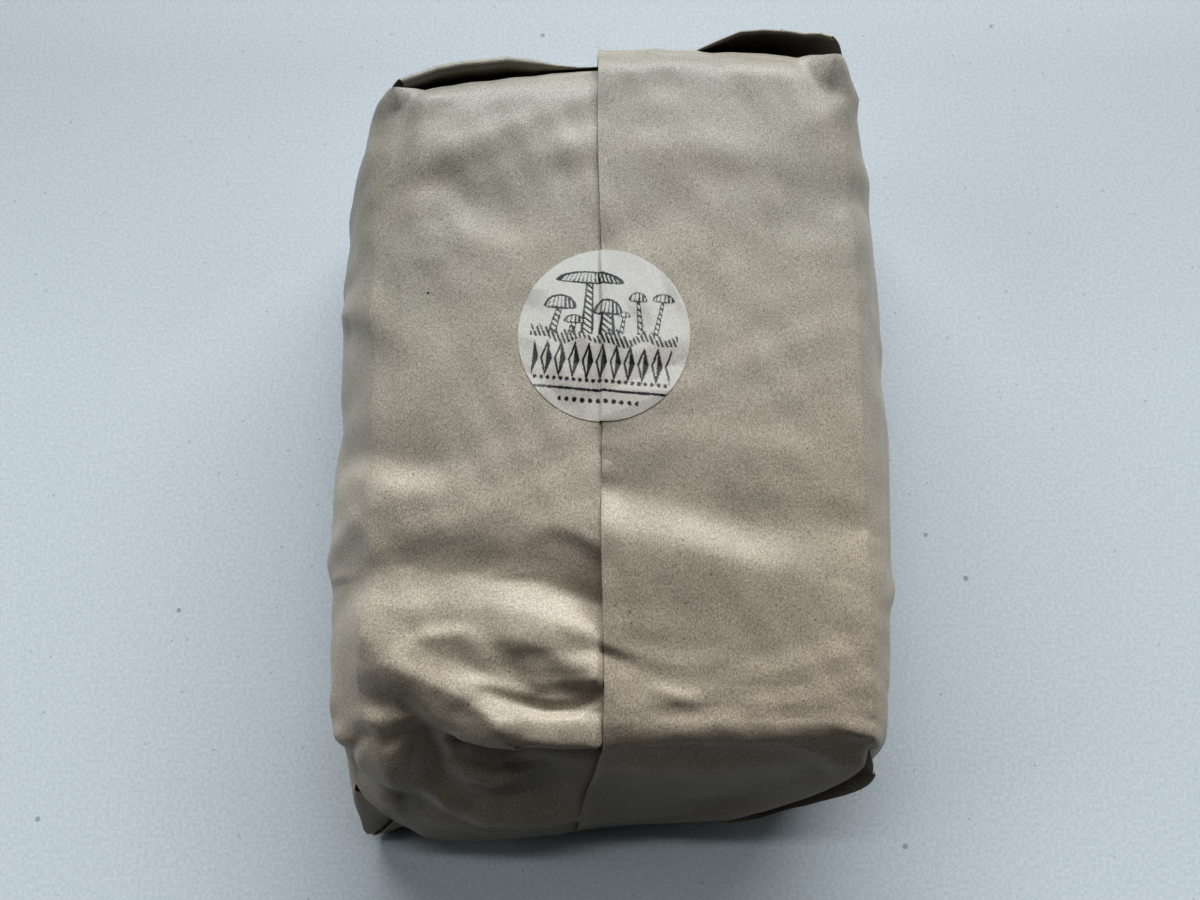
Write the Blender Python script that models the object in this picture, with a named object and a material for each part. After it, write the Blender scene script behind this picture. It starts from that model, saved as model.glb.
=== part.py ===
"""Paper-wrapped mushroom grow bag, lying on its back with the seam side up.

A colonised substrate block sits in a clear film bag.  The bag's flat neck folds up its far end
and back over its top, where a strip of tape holds it, and a filter patch lets the block breathe.
One sheet of kraft paper goes round it all and overlaps along the top, and a round film label
holds the overlap shut.

Every piece is a skin of one rounded brick.  A point is placed on a sharp brick, pulled on to the
rounded brick at an offset along its normal, and then moved by settle(), which gives the parcel
its bulging sides, its low leaning near end and its crown.  All lengths below are millimetres.
Axes: X across, Y along (far end at +Y), Z up.  The origin is under the parcel's middle.
"""

import bmesh
import bpy
import numpy as np
from mathutils import Matrix

MM = 0.001

# The brick that the paper is wrapped round.
HALF_WIDTH = 107.0
HALF_LENGTH = 146.0
THICKNESS = 82.0
CORNER_RADIUS = 16.0
MID_HEIGHT = THICKNESS / 2.0
GIRTH = 2.0 * (2.0 * HALF_WIDTH + THICKNESS)

# How the filled bag settles.
BULGE_HEIGHT = 0.46
BULGE = 0.765
CROWN = 6.0
NEAR_TOE = 4.0
NEAR_LEAN = 41.0
NEAR_SKEW = 7.0
NEAR_ROUND = 7.0
NEAR_TAPER = 0.11
TAPER_SKEW = 0.4
NEAR_POWER = 2
FAR_PUSH = 4.0
FAR_SKEW = 8.0
FAR_ROUND = 12.0
FAR_TAPER = 0.06
FAR_POWER = 4
TAPER_POWER = 1.5

# Kraft sheet: the seam's visible edge, how far one side runs under the other, and its layers.
PAPER = 0.45
LAYER_STEP = 1.0
SEAM_X = -5.0
SEAM_OVERLAP = 42.0
SEAM_RAMP = 34.0
END_GAP = 0.03
END_SCALES = (0.4, 0.7, 0.88)

# Film bag and the block inside it, as depths below the paper's outside.
BAG_DEPTH = 3.0
FILM = 0.35
BLOCK_DEPTH = 4.4
SINK = 2.0
FAR_ROOM = 8.0
NECK_HALF_WIDTH = 78.0
NECK_HALF_GAP = 1.0
NECK_CLEAR = 2.0
NECK_RISE = 1.0
NECK_OVER_TOP = 44.0

# Flat pieces.
LABEL_X = -3.4
LABEL_Y = 29.0
LABEL_RADIUS_X = 30.0
LABEL_RADIUS_Y = 31.5
LABEL_FILM = 0.2
PATCH_SIZE = 44.0
PATCH_Y = 68.0
PATCH_THICKNESS = 0.5
TAPE_LENGTH = 96.0
TAPE_WIDTH = 25.0
TAPE_THICKNESS = 0.3
GAP = 0.4


def smooth(value):
    """Ease from 0 to 1 as the value goes from 0 to 1, flat at both ends."""
    value = np.clip(value, 0.0, 1.0)
    return value * value * (3.0 - 2.0 * value)


def squeeze(level):
    """Width factor at a height, 0 at the base and 1 at the top: widest at BULGE_HEIGHT."""
    return 1.0 - BULGE * (level - BULGE_HEIGHT) ** 2


TOP_SQUEEZE = squeeze(1.0)


def round_brick(points):
    """Pull sharp-brick points on to the rounded brick; also gives the brick's normals there."""
    r = CORNER_RADIUS
    low = np.array([r - HALF_WIDTH, r - HALF_LENGTH, r])
    high = np.array([HALF_WIDTH - r, HALF_LENGTH - r, THICKNESS - r])
    core = np.clip(points, low, high)
    away = points - core
    normal = away / np.linalg.norm(away, axis=-1, keepdims=True)
    return core + normal * r, normal


def settle(points):
    """Brick to parcel: bulge the sides, taper and skew the ends, lean the near one, add a crown."""
    x, y, z = points[..., 0], points[..., 1], points[..., 2]
    across = np.clip(x / HALF_WIDTH, -1.0, 1.0)
    along = np.clip(y / HALF_LENGTH, -1.0, 1.0)
    level = np.clip(z / THICKNESS, 0.0, 1.0)
    near, far = np.maximum(-along, 0.0), np.maximum(along, 0.0)
    taper = NEAR_TAPER * near**TAPER_POWER * (1.0 - level**2) * (1.0 + TAPER_SKEW * across)
    taper = taper + FAR_TAPER * far**FAR_POWER
    toe = (1.0 - level) * (NEAR_SKEW * across + NEAR_ROUND * across**2)
    near_shift = near**NEAR_POWER * (NEAR_LEAN * level - NEAR_TOE + toe)
    far_shift = far**FAR_POWER * (FAR_PUSH + FAR_SKEW * across - FAR_ROUND * across**2)
    crown = CROWN * level * (1.0 - across**2) * (1.0 - along**2)
    moved_x = x * squeeze(level) * (1.0 - taper)
    return np.stack([moved_x, y + near_shift + far_shift, z + crown], axis=-1)


def skin(points, offset):
    """Settled surface under sharp-brick points, moved out along its true normal.

    The brick's normal is carried through settle() by the inverse transpose of its slopes.
    """
    base, normal = round_brick(points)
    probe = 0.01
    slopes = [settle(base + probe * axis) - settle(base - probe * axis) for axis in np.eye(3)]
    slopes = np.stack(slopes, axis=-2) / (2.0 * probe)
    turned = np.linalg.solve(slopes, normal[..., None])[..., 0]
    turned /= np.linalg.norm(turned, axis=-1, keepdims=True)
    return settle(base) + turned * np.asarray(offset)[..., None]


def girth_point(distance):
    """Sharp-brick X and Z at a distance round the girth, from the top's middle towards -X."""
    run = np.mod(distance, GIRTH)
    corners = np.cumsum([0.0, HALF_WIDTH, THICKNESS, 2.0 * HALF_WIDTH, THICKNESS, HALF_WIDTH])
    x = np.interp(run, corners, np.array([0.0, -1.0, -1.0, 1.0, 1.0, 0.0]) * HALF_WIDTH)
    z = np.interp(run, corners, np.array([1.0, 1.0, 0.0, 0.0, 1.0, 1.0]) * THICKNESS)
    return x, z


def girth_stations(start, end, flat_steps, corner_steps):
    """Distances round the girth from start to end, closer together at the rounded corners."""
    first = HALF_WIDTH
    corners = [first, first + THICKNESS, GIRTH - first - THICKNESS, GIRTH - first]
    knots = [start]
    for corner in corners:
        knots += [corner - CORNER_RADIUS, corner + CORNER_RADIUS]
    knots.append(end)
    pieces = [np.array([start])]
    for index, (a, b) in enumerate(zip(knots[:-1], knots[1:])):
        steps = corner_steps if index % 2 else flat_steps[index // 2]
        pieces.append(np.linspace(a, b, steps + 1)[1:])
    return np.concatenate(pieces)


def end_loop(x, z, end, scale, width_scale=None):
    """The girth drawn in to a smaller loop on the end face: end is -1 near and +1 far."""
    y = np.full_like(x, end * HALF_LENGTH)
    drawn_x = x * (scale if width_scale is None else width_scale)
    return np.stack([drawn_x, y, MID_HEIGHT + (z - MID_HEIGHT) * scale], axis=-1)


def side_loop(x, z, y):
    return np.stack([x, np.full_like(x, y), z], axis=-1)


def tube_rows():
    """Y of the loops between the two ends, closer together at the rounded edges."""
    edge = HALF_LENGTH - CORNER_RADIUS
    turn = np.linspace(HALF_LENGTH, edge, 4)
    return np.concatenate([-turn, np.linspace(-edge, edge, 8)[1:-1], turn[::-1]])


def add_object(name, vertices, faces, colour, roughness, smooth_shade=True):
    """One closed body from points in millimetres, with its own material."""
    mesh = bpy.data.meshes.new(name)
    mesh.from_pydata((np.asarray(vertices) * MM).tolist(), [], faces)
    shape = bmesh.new()
    shape.from_mesh(mesh)
    bmesh.ops.recalc_face_normals(shape, faces=shape.faces)
    shape.to_mesh(mesh)
    shape.free()
    if smooth_shade:
        mesh.shade_smooth()
        mesh.set_sharp_from_angle(angle=np.radians(40.0))
    material = bpy.data.materials.new(name)
    material.use_nodes = True
    shader = material.node_tree.nodes["Principled BSDF"]
    shader.inputs["Base Color"].default_value = (*colour, 1.0)
    shader.inputs["Roughness"].default_value = roughness
    shader.inputs["Metallic"].default_value = 0.0
    mesh.materials.append(material)
    piece = bpy.data.objects.new(name, mesh)
    bpy.context.collection.objects.link(piece)
    return piece


def grid_faces(first, rows, columns, wrap=False):
    """Triangles of a grid of points numbered row by row from first, all cut the same way."""
    faces = []
    for row in range(rows - 1):
        for column in range(columns if wrap else columns - 1):
            a = first + row * columns + column
            b = first + row * columns + (column + 1) % columns
            faces += [(a, b, b + columns), (a, b + columns, a + columns)]
    return faces


def flipped(faces):
    return [face[::-1] for face in faces]


def sheet_solid(outer, inner):
    """A sheet with free edges all round, from the grids of its outside and its inside."""
    rows, columns = outer.shape[:2]
    count = rows * columns
    faces = grid_faces(0, rows, columns) + flipped(grid_faces(count, rows, columns))
    rim = [column for column in range(columns)]
    rim += [row * columns + columns - 1 for row in range(1, rows)]
    rim += [(rows - 1) * columns + column for column in range(columns - 2, -1, -1)]
    rim += [row * columns for row in range(rows - 2, 0, -1)]
    for a, b in zip(rim, rim[1:] + rim[:1]):
        faces.append((b, a, a + count, b + count))
    vertices = np.concatenate([outer.reshape(-1, 3), inner.reshape(-1, 3)])
    return vertices, faces


def kraft_wrap():
    """One sheet round the girth, its +X side on top, drawn in over each end of the parcel."""
    start = -(SEAM_X + SEAM_OVERLAP) / TOP_SQUEEZE
    end = GIRTH - SEAM_X / TOP_SQUEEZE
    around = girth_stations(start, end, (6, 4, 6, 4, 6), 3)
    x, z = girth_point(around)
    ramp_end = GIRTH + start - 2.0
    lift = LAYER_STEP * smooth((around - ramp_end + SEAM_RAMP) / SEAM_RAMP)
    shrink = np.array([END_GAP, 0.3, 0.6, 0.82, 0.92])
    rows = [end_loop(x, z, -1.0, scale) for scale in shrink]
    rows += [side_loop(x, z, y) for y in tube_rows()]
    rows += [end_loop(x, z, 1.0, scale) for scale in shrink[::-1]]
    sharp = np.stack(rows)
    lift = np.broadcast_to(lift, sharp.shape[:2])
    outer = skin(sharp, lift)
    inner = skin(sharp, lift - PAPER)
    return add_object("kraft_wrap", *sheet_solid(outer, inner), (0.36, 0.28, 0.21), 0.75)


def sink(points):
    """Inner pieces lie lower than the middle of the paper and stop short of its far end."""
    drawn_in = FAR_ROOM * smooth(points[..., 1:2] / HALF_LENGTH)
    return points - np.concatenate([0.0 * drawn_in, drawn_in, 0.0 * drawn_in + SINK], axis=-1)


def substrate_block():
    """Solid block: the brick's loops at one depth, closed by a fan at each end."""
    around = girth_stations(0.0, GIRTH, (3, 4, 5, 4, 3), 3)[:-1]
    x, z = girth_point(around)
    shrink = np.array(END_SCALES)
    rows = [end_loop(x, z, -1.0, scale) for scale in shrink]
    rows += [side_loop(x, z, y) for y in tube_rows()]
    rows += [end_loop(x, z, 1.0, scale) for scale in shrink[::-1]]
    sharp = np.stack(rows)
    block = sink(skin(sharp, np.full(sharp.shape[:2], -BLOCK_DEPTH)))
    tips = np.array([[0.0, end * HALF_LENGTH, MID_HEIGHT] for end in (-1.0, 1.0)])
    tips = sink(skin(tips, np.full(2, -BLOCK_DEPTH)))
    count, columns = block.shape[0] * block.shape[1], block.shape[1]
    faces = grid_faces(0, block.shape[0], columns, wrap=True)
    last = count - columns
    for column in range(columns):
        after = (column + 1) % columns
        faces.append((count, after, column))
        faces.append((count + 1, last + column, last + after))
    vertices = np.concatenate([block.reshape(-1, 3), tips])
    return add_object("substrate_block", vertices, faces, (0.62, 0.53, 0.42), 0.9)


def neck_rows(x, z, depth):
    """Flat neck: out of the far end's middle, up the end face and back over the top.

    The lower half of each loop becomes the neck's outer layer and the upper half its inner one.
    """
    across = (NECK_HALF_WIDTH - depth) * x / HALF_WIDTH
    half = (NECK_HALF_GAP - depth) * (MID_HEIGHT - z) / MID_HEIGHT
    slot = np.stack([across, np.full_like(x, HALF_LENGTH), MID_HEIGHT - half], axis=-1)
    rows = [sink(skin(slot, np.full_like(x, NECK_RISE - BAG_DEPTH)))]
    offset = NECK_CLEAR - BAG_DEPTH + half
    for height in np.linspace(MID_HEIGHT + 5.0, THICKNESS, 5):
        points = np.stack([across, np.full_like(x, HALF_LENGTH), np.full_like(x, height)], axis=-1)
        rows.append(sink(skin(points, offset)))
    edge = HALF_LENGTH - CORNER_RADIUS / 2.0
    for y in np.linspace(edge, HALF_LENGTH - NECK_OVER_TOP, 6):
        points = np.stack([across, np.full_like(x, y), np.full_like(x, THICKNESS)], axis=-1)
        rows.append(sink(skin(points, offset)))
    return rows


def bag_rows(depth):
    """Loops from the sealed near end to the mouth, at a depth inside the bag's outer face."""
    around = girth_stations(0.0, GIRTH, (3, 4, 5, 4, 3), 3)[:-1]
    x, z = girth_point(around)
    rows = [end_loop(x, z, -1.0, scale) for scale in END_SCALES]
    rows += [side_loop(x, z, y) for y in tube_rows()]
    neck_scale = NECK_HALF_WIDTH / HALF_WIDTH
    for scale in END_SCALES[::-1]:
        rows.append(end_loop(x, z, 1.0, scale, neck_scale + (1.0 - neck_scale) * scale))
    sharp = np.stack(rows)
    body = sink(skin(sharp, np.full(sharp.shape[:2], -BAG_DEPTH - depth)))
    return np.stack([*body, *neck_rows(x, z, depth)])


def grow_bag():
    """Clear film bag, open at the neck's mouth and sealed at the near end."""
    outer, inner = bag_rows(0.0), bag_rows(FILM)
    rows, columns = outer.shape[:2]
    count = rows * columns
    tip = np.array([[0.0, -HALF_LENGTH, MID_HEIGHT]] * 2)
    tips = sink(skin(tip, np.array([-BAG_DEPTH, -BAG_DEPTH - FILM])))
    faces = grid_faces(0, rows, columns, wrap=True)
    faces += flipped(grid_faces(count, rows, columns, wrap=True))
    mouth = count - columns
    for column in range(columns):
        after = (column + 1) % columns
        faces.append((2 * count, after, column))
        faces.append((2 * count + 1, count + column, count + after))
        faces.append((mouth + column, mouth + after, count + mouth + after, count + mouth + column))
    vertices = np.concatenate([outer.reshape(-1, 3), inner.reshape(-1, 3), tips])
    return add_object("grow_bag", vertices, faces, (0.80, 0.82, 0.80), 0.25)


def top_sheet(name, x_range, y_range, steps, low, high, colour, roughness, sunk=True):
    """A thin rectangular piece that follows the top between two offsets."""
    x = np.linspace(*x_range, steps[0] + 1) / TOP_SQUEEZE
    y = np.linspace(*y_range, steps[1] + 1)
    grid = np.stack([*np.meshgrid(x, y), np.full((y.size, x.size), THICKNESS)], axis=-1)
    skins = [skin(grid, np.full(grid.shape[:2], level)) for level in (high, low)]
    if sunk:
        skins = [sink(layer) for layer in skins]
    return add_object(name, *sheet_solid(*skins), colour, roughness)


def filter_patch():
    half = PATCH_SIZE / 2.0
    low = GAP - BAG_DEPTH
    sides = (-half, half), (PATCH_Y - half, PATCH_Y + half)
    return top_sheet("filter_patch", *sides, (4, 4), low, low + PATCH_THICKNESS, (0.9, 0.9, 0.88), 0.8)


def neck_tape():
    """Strip across the neck's outer layer, close to its mouth."""
    half = TAPE_LENGTH / 2.0
    start = HALF_LENGTH - NECK_OVER_TOP + 3.0
    low = NECK_CLEAR - BAG_DEPTH + NECK_HALF_GAP + GAP
    sides = (-half, half), (start, start + TAPE_WIDTH)
    return top_sheet("neck_tape", *sides, (8, 3), low, low + TAPE_THICKNESS, (0.75, 0.76, 0.74), 0.3)


def round_label():
    """Round film that steps down from the upper layer of paper to the lower one at the seam."""
    rings = np.linspace(0.0, 1.0, 6)[1:]
    turn = np.linspace(0.0, 2.0 * np.pi, 33)[:-1]
    radius, angle = np.meshgrid(rings, turn, indexing="ij")
    x = LABEL_X + LABEL_RADIUS_X * radius * np.cos(angle)
    y = LABEL_Y + LABEL_RADIUS_Y * radius * np.sin(angle)
    x, y = np.append(x.ravel(), LABEL_X), np.append(y.ravel(), LABEL_Y)
    step = smooth((x - SEAM_X + 9.0) / 8.0)
    sharp = np.stack([x / TOP_SQUEEZE, y, np.full_like(x, THICKNESS)], axis=-1)
    low = GAP + LAYER_STEP * step
    bottom, top = (skin(sharp, low + rise) for rise in (0.0, LABEL_FILM))
    count, columns = x.size, turn.size
    faces = []
    for first, flip in ((0, False), (count, True)):
        disc = grid_faces(first, rings.size, columns, wrap=True)
        centre = first + count - 1
        disc += [(centre, first + (k + 1) % columns, first + k) for k in range(columns)]
        faces += flipped(disc) if flip else disc
    edge = (rings.size - 1) * columns
    for k in range(columns):
        a, b = edge + k, edge + (k + 1) % columns
        faces.append((a, b, b + count, a + count))
    return add_object("round_label", np.concatenate([bottom, top]), faces, (0.42, 0.36, 0.30), 0.2)


def centre_under(wrap, pieces):
    """Move every mesh so that the origin is under the middle of the wrap's box."""
    corners = np.array([vertex.co for vertex in wrap.data.vertices])
    middle = (corners.min(axis=0) + corners.max(axis=0)) / 2.0
    shift = Matrix.Translation((-middle[0], -middle[1], -corners[:, 2].min()))
    for piece in pieces:
        piece.data.transform(shift)


def main():
    for old in list(bpy.data.objects):
        bpy.data.objects.remove(old, do_unlink=True)
    makers = (substrate_block, grow_bag, filter_patch, neck_tape, kraft_wrap, round_label)
    pieces = {make.__name__: make() for make in makers}
    centre_under(pieces["kraft_wrap"], pieces.values())


main()
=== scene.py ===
"""Looks of a mushroom grow bag wrapped in kraft paper, lying with its seam side up.

The paper is one folded sheet.  Every point of it starts on a sharp brick, is pulled on to the
rounded brick, and is settled into the parcel's slumped form.  It is then moved out along the
true normal by the layer it lies in and by the relief of its creases.  Lengths are millimetres
until a mesh is made.  Creases are placed in the sheet's own flat net: s runs across from the
middle of the top, t along it, and both go on over the edges and down the sides and the ends.
"""

import bmesh
import bpy
import numpy as np
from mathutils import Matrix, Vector


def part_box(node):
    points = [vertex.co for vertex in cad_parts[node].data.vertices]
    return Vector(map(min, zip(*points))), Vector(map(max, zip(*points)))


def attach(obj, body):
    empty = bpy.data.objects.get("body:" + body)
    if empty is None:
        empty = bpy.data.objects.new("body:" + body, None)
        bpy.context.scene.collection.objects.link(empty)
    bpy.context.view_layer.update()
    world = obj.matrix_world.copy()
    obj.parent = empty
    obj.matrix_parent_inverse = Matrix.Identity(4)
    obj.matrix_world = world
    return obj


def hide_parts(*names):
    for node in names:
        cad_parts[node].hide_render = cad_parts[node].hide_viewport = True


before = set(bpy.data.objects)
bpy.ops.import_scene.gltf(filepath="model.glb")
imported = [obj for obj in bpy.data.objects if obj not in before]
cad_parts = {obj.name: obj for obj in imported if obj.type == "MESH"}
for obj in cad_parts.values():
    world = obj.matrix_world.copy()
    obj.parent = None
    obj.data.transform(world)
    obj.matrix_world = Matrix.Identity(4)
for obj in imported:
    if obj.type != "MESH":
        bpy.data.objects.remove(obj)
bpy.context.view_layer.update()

MM = 0.001

# The brick that the paper is wrapped round.
HALF_WIDTH = 107.0
HALF_LENGTH = 146.0
THICKNESS = 82.0
CORNER_RADIUS = 16.0
NEAR, FAR = -1.0, 1.0
LEFT, RIGHT = -1.0, 1.0

# How the filled bag settles: shares of width lost, then moves of the ends and the top.
BULGE_HEIGHT = 0.46
BULGE = 0.765
NEAR_TAPER = 0.11
FAR_TAPER = 0.06
TAPER_SKEW = 0.4
NEAR_LEAN = 41.0
NEAR_FOOT = 4.0
NEAR_TOE = 7.0
FAR_PUSH, FAR_SKEW, FAR_ROUND = 4.0, 8.0, 12.0
CROWN = 6.0

# Seam and layers of the paper: the upper side's edge, the lower side's hidden edge, the rise
# from one layer to the next with the air between them, and the paper's own thickness.
SEAM_S = -5.0
UNDER_S = 37.0
LAYER = 0.7
PAPER = 0.22
CREASE_ANGLE = 50.0


# --- the parcel's form ---------------------------------------------------------------------


def smooth(value):
    """Ease from 0 to 1 while the value goes from 0 to 1: 3v^2 - 2v^3."""
    value = np.clip(value, 0.0, 1.0)
    return value * value * (3.0 - 2.0 * value)


def ordered(x, y, z):
    """Points from their coordinates, each a number, a row, a column or a whole grid."""
    return np.stack(np.broadcast_arrays(x, y, z), axis=-1).astype(float)


def squeeze(level):
    """Width factor at a height, 0 at the base and 1 at the top: widest at BULGE_HEIGHT."""
    return 1.0 - BULGE * (level - BULGE_HEIGHT) ** 2


def round_brick(points):
    """Point and normal on the rounded brick: the core's nearest point plus a radius outwards."""
    r = CORNER_RADIUS
    low = np.array([r - HALF_WIDTH, r - HALF_LENGTH, r])
    high = np.array([HALF_WIDTH - r, HALF_LENGTH - r, THICKNESS - r])
    core = np.clip(points, low, high)
    away = points - core
    normal = away / np.linalg.norm(away, axis=-1, keepdims=True)
    return core + normal * r, normal


def settle(points):
    """Brick to parcel: bulge the sides, taper and skew the ends, lean the near one, add a crown.

    Width is scaled by squeeze() and by one less the taper, which grows with the 1.5th power of
    the way to the near end and the 4th to the far one.  Ends move by the square and the 4th
    power of that way.  The crown is level * (1 - across^2) * (1 - along^2).
    """
    x, y, z = points[..., 0], points[..., 1], points[..., 2]
    across = np.clip(x / HALF_WIDTH, -1.0, 1.0)
    along = np.clip(y / HALF_LENGTH, -1.0, 1.0)
    level = np.clip(z / THICKNESS, 0.0, 1.0)
    near, far = np.maximum(-along, 0.0), np.maximum(along, 0.0)
    taper = NEAR_TAPER * near**1.5 * (1.0 - level**2) * (1.0 + TAPER_SKEW * across)
    taper += FAR_TAPER * far**4
    toe = (1.0 - level) * NEAR_TOE * (across + across**2)
    near_shift = near**2 * (NEAR_LEAN * level - NEAR_FOOT + toe)
    far_shift = far**4 * (FAR_PUSH + FAR_SKEW * across - FAR_ROUND * across**2)
    crown = CROWN * level * (1.0 - across**2) * (1.0 - along**2)
    moved_x = x * squeeze(level) * (1.0 - taper)
    return np.stack([moved_x, y + near_shift + far_shift, z + crown], axis=-1)


def skin(sharp, lift):
    """Settled surface under sharp-brick points, moved out by the lift along its true normal.

    The brick's normal is carried through settle() by the inverse transpose of its slopes.
    """
    base, normal = round_brick(sharp)
    probe = 0.01
    slopes = [settle(base + probe * axis) - settle(base - probe * axis) for axis in np.eye(3)]
    slopes = np.stack(slopes, axis=-2) / (2.0 * probe)
    turned = np.linalg.solve(slopes, normal[..., None])[..., 0]
    turned /= np.linalg.norm(turned, axis=-1, keepdims=True)
    return knead(settle(base) + turned * np.broadcast_to(lift, sharp.shape[:-1])[..., None])


# Soft pushes of the settled form, all layers together: middle, radii and move of each.
PUSHES = [
    ((-38.0, -113.0, 60.0), (27.0, 15.0, 15.0), (0.0, 6.0, -8.0)),
    ((-46.0, -140.0, 30.0), (32.0, 14.0, 12.0), (0.0, -4.0, 4.0)),
    ((-100.0, -128.0, 46.0), (20.0, 24.0, 16.0), (5.0, 6.0, 0.0)),
    ((-88.0, -106.0, 78.0), (30.0, 26.0, 22.0), (0.0, 2.0, -6.5)),
    ((-96.0, -148.0, 3.0), (9.0, 12.0, 12.0), (-3.0, -5.0, 0.0)),
]


def knead(points):
    """Add each push's move times exp(-r^2), with r measured in the push's radii."""
    moved = points.copy()
    for middle, radii, move in PUSHES:
        reach = ((points - np.array(middle)) / np.array(radii)) ** 2
        moved += np.exp(-reach.sum(axis=-1, keepdims=True)) * np.array(move)
    return moved


def form_middle():
    """Middle of the settled form's box, from its widest loops."""
    turn = np.linspace(-1.0, 1.0, 121)
    level = np.full_like(turn, BULGE_HEIGHT * THICKNESS)
    sides = [ordered(side * HALF_WIDTH, turn * HALF_LENGTH, level) for side in (LEFT, RIGHT)]
    height = (turn[:, None] + 1.0) / 2.0 * THICKNESS
    ends = [ordered(turn * HALF_WIDTH, end * HALF_LENGTH, height) for end in (NEAR, FAR)]
    loops = np.concatenate([settle(round_brick(part)[0]).reshape(-1, 3) for part in sides + ends])
    return (loops.min(axis=0) + loops.max(axis=0)) / 2.0


def frame_shift():
    """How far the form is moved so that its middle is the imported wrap's middle."""
    low, high = (np.array(corner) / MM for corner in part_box("kraft_wrap"))
    shift = (low + high) / 2.0 - form_middle()
    shift[2] = low[2]
    return shift


SHIFT = frame_shift()


# --- creases, in the sheet's flat net ---------------------------------------------------------

# How near two places are the same, and how far from a vertical corner its two nets are mixed.
TOUCHING = 1e-6
CORNER_MIX = 18.0

# Where the paper is gathered and crushed most: the middle and the radii.
GATHER_MIDDLE = np.array([-66.0, -132.0, 50.0])
GATHER_RADII = np.array([56.0, 34.0, 50.0])


def near_path(s, t, path):
    """Nearest point of a path of straight runs: signed distance (left of the path is positive)
    and how far along the path it is, from 0 to 1."""
    path = np.asarray(path, dtype=float)
    runs = np.linalg.norm(np.diff(path, axis=0), axis=1)
    total = runs.sum()
    best = np.full(np.shape(s), np.inf)
    signed = np.zeros(np.shape(s))
    place = np.zeros(np.shape(s))
    start = 0.0
    for (a, b), run in zip(zip(path[:-1], path[1:]), runs):
        way = (b - a) / run
        ds, dt = s - a[0], t - a[1]
        along = np.clip(ds * way[0] + dt * way[1], 0.0, run)
        off_s, off_t = ds - along * way[0], dt - along * way[1]
        gap = np.hypot(off_s, off_t)
        side = way[0] * dt - way[1] * ds
        closer = gap < best
        best = np.where(closer, gap, best)
        signed = np.where(closer, np.copysign(gap, side), signed)
        place = np.where(closer, (start + along) / total, place)
        start += run
    return signed, place


def fade(place, ends):
    """Height along a path: ends gives the share of full height at its start and its end.

    It is the larger of a straight line between those shares and sin(pi * place)^0.7, which is
    halved where only one end is full.
    """
    middle = np.sin(np.pi * np.clip(place, 0.0, 1.0)) ** 0.7
    line = ends[0] + (ends[1] - ends[0]) * place
    return np.maximum(line, middle * (1.0 - abs(ends[0] - ends[1]) * 0.5))


def ridge(s, t, path, height, widths, sharp=0.0, ends=(0.0, 0.0), spread=1.0):
    """A raised (or, below zero, sunk) fold along a path.

    height * exp(-(d/w)^2), with one width on each side and a share `sharp` of a straight-sided
    tent, 1 - |d|/1.8w, for a crisp crest.  Widths grow by `spread` from the start to the end.
    """
    distance, place = near_path(s, t, path)
    width = np.where(distance > 0.0, widths[0], widths[1]) * (1.0 + (spread - 1.0) * place)
    reach = np.abs(distance) / width
    crisp = np.hypot(distance, 0.5) / width
    tent = np.maximum(1.0 - crisp / 1.8, 0.0)
    profile = (1.0 - sharp) * np.exp(-(reach**2)) + sharp * tent
    return height * profile * fade(place, ends)


def step(s, t, path, rise, drop, crisp, reach, start):
    """An overhang: rise on the left of the path, drop on its right, crisp between them.

    Both sides ease back to nothing over the reach, and the step grows from the path's start.
    """
    distance, place = near_path(s, t, path)
    side = 0.5 + 0.5 * np.tanh(distance / crisp)
    size = side * rise * np.exp(-((np.maximum(distance, 0.0) / reach[0]) ** 2))
    size -= (1.0 - side) * drop * np.exp(-((np.minimum(distance, 0.0) / reach[1]) ** 2))
    return size * smooth(place / start)


def mound(s, t, middle, radii, height, turn=0.0):
    """A soft oval swelling: height * exp(-r^2), with its long axis turned by the angle."""
    ds, dt = s - middle[0], t - middle[1]
    c, d = np.cos(np.radians(turn)), np.sin(np.radians(turn))
    reach = ((ds * c + dt * d) / radii[0]) ** 2 + ((dt * c - ds * d) / radii[1]) ** 2
    return height * np.exp(-reach)


# Long paths in the net.  Two folds follow the crest, and the lip is a fold and an overhang.
LEFT_EDGE = [
    (-118, 143), (-118, 120), (-108, 45), (-104, -56), (-101, -115), (-99, -140), (-91, -162), (-90, -192),
]
VALLEY = [(-78, -59), (-50, -60), (-30, -64), (-2, -75)]
BULGE_TOP = [(-54, -88), (-44, -87), (-30, -92), (-14, -100), (-4, -107)]
CREASE = [(-56, -112), (-40, -122), (-29, -126), (-16, -125), (-5, -116)]
CREST = [(-106, -80), (-95, -101), (-79, -110), (-61, -118), (-48, -131), (-37, -137), (6, -139)]
HOLLOW = [(-103, -113), (-90, -124), (-76, -149), (-66, -167), (-57, -185)]
LIP = [(-70, -141), (-60, -142), (-42, -144), (-30, -142), (10, -141)]
FOOT = [(-80, -168), (-64, -181), (-54, -189), (-42, -191), (-14, -195)]
RIGHT_VALLEY = [(-4, -27), (20, -30), (45, -36), (68, -41), (98, -43)]
NEAR_EDGE = [(-14, -144), (35, -138), (67, -141), (90, -156)]

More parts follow.
